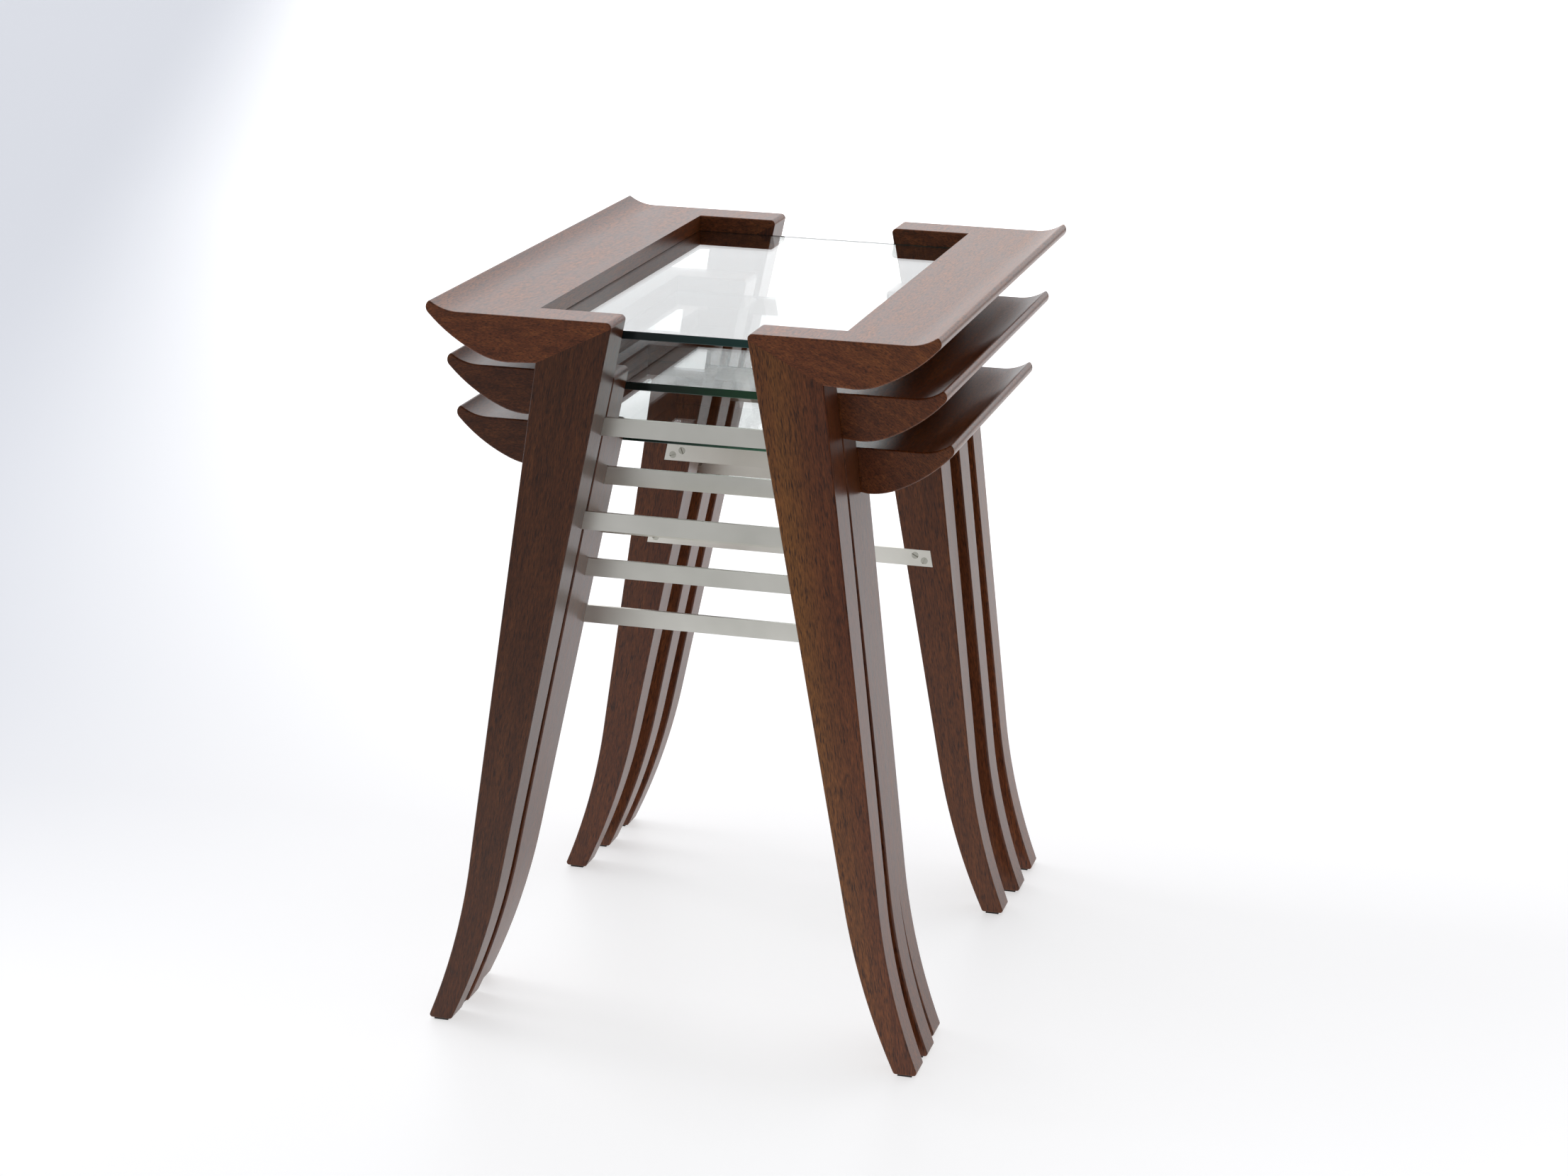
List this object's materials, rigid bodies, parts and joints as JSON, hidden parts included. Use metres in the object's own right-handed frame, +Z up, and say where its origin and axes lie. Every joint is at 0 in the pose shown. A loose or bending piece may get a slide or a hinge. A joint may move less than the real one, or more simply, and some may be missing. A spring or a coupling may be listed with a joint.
{
  "type": "nesting tables",
  "caption": "Nest of glass-topped side tables with upturned wooden edges, splayed sabre legs and slim metal bars; the smaller tables slide out sideways.",
  "frame": {"origin": "on the floor, under the middle of the large table", "axes": "X across the tables, the way the smaller ones slide out; +Y to the rear; Z up"},
  "size_m": [0.4218, 0.555, 0.6133],
  "materials": {
    "mahogany": "satin lacquer over red-brown mahogany",
    "dowel_beech": "plain",
    "tempered_glass": "clear, with polished edges",
    "nickel_steel": "satin nickel plate",
    "foot_plastic": "matte"
  },
  "bodies": {
    "large_table": {"large_right_board": "mahogany", "large_left_board": "mahogany", "large_front_right_arm": "mahogany", "large_front_left_arm": "mahogany", "large_rear_right_arm": "mahogany", "large_rear_left_arm": "mahogany", "large_front_right_leg": "mahogany", "large_front_left_leg": "mahogany", "large_rear_right_leg": "mahogany", "large_rear_left_leg": "mahogany", "large_glass": "tempered_glass", "large_upper_front_bar": "nickel_steel", "large_lower_front_bar": "nickel_steel", "large_upper_rear_bar": "nickel_steel", "large_lower_rear_bar": "nickel_steel", "large_bar_screws": "nickel_steel", "large_dowels": "dowel_beech", "large_foot_pads": "foot_plastic"},
    "medium_table": {"medium_right_board": "mahogany", "medium_left_board": "mahogany", "medium_front_right_arm": "mahogany", "medium_front_left_arm": "mahogany", "medium_rear_right_arm": "mahogany", "medium_rear_left_arm": "mahogany", "medium_front_right_leg": "mahogany", "medium_front_left_leg": "mahogany", "medium_rear_right_leg": "mahogany", "medium_rear_left_leg": "mahogany", "medium_glass": "tempered_glass", "medium_upper_front_bar": "nickel_steel", "medium_lower_front_bar": "nickel_steel", "medium_upper_rear_bar": "nickel_steel", "medium_lower_rear_bar": "nickel_steel", "medium_bar_screws": "nickel_steel", "medium_dowels": "dowel_beech", "medium_foot_pads": "foot_plastic"},
    "small_table": {"small_right_board": "mahogany", "small_left_board": "mahogany", "small_front_right_arm": "mahogany", "small_front_left_arm": "mahogany", "small_rear_right_arm": "mahogany", "small_rear_left_arm": "mahogany", "small_front_right_leg": "mahogany", "small_front_left_leg": "mahogany", "small_rear_right_leg": "mahogany", "small_rear_left_leg": "mahogany", "small_glass": "tempered_glass", "small_upper_front_bar": "nickel_steel", "small_lower_front_bar": "nickel_steel", "small_upper_rear_bar": "nickel_steel", "small_lower_rear_bar": "nickel_steel", "small_bar_screws": "nickel_steel", "small_dowels": "dowel_beech", "small_foot_pads": "foot_plastic"}
  },
  "joints": [
    {"name": "medium_slide", "type": "slide", "parent": "large_table", "child": "medium_table", "axis": [1, 0, 0], "range_m": [-0.45, 0.45]},
    {"name": "small_slide", "type": "slide", "parent": "large_table", "child": "small_table", "axis": [1, 0, 0], "range_m": [-0.9, 0.9]}
  ]
}
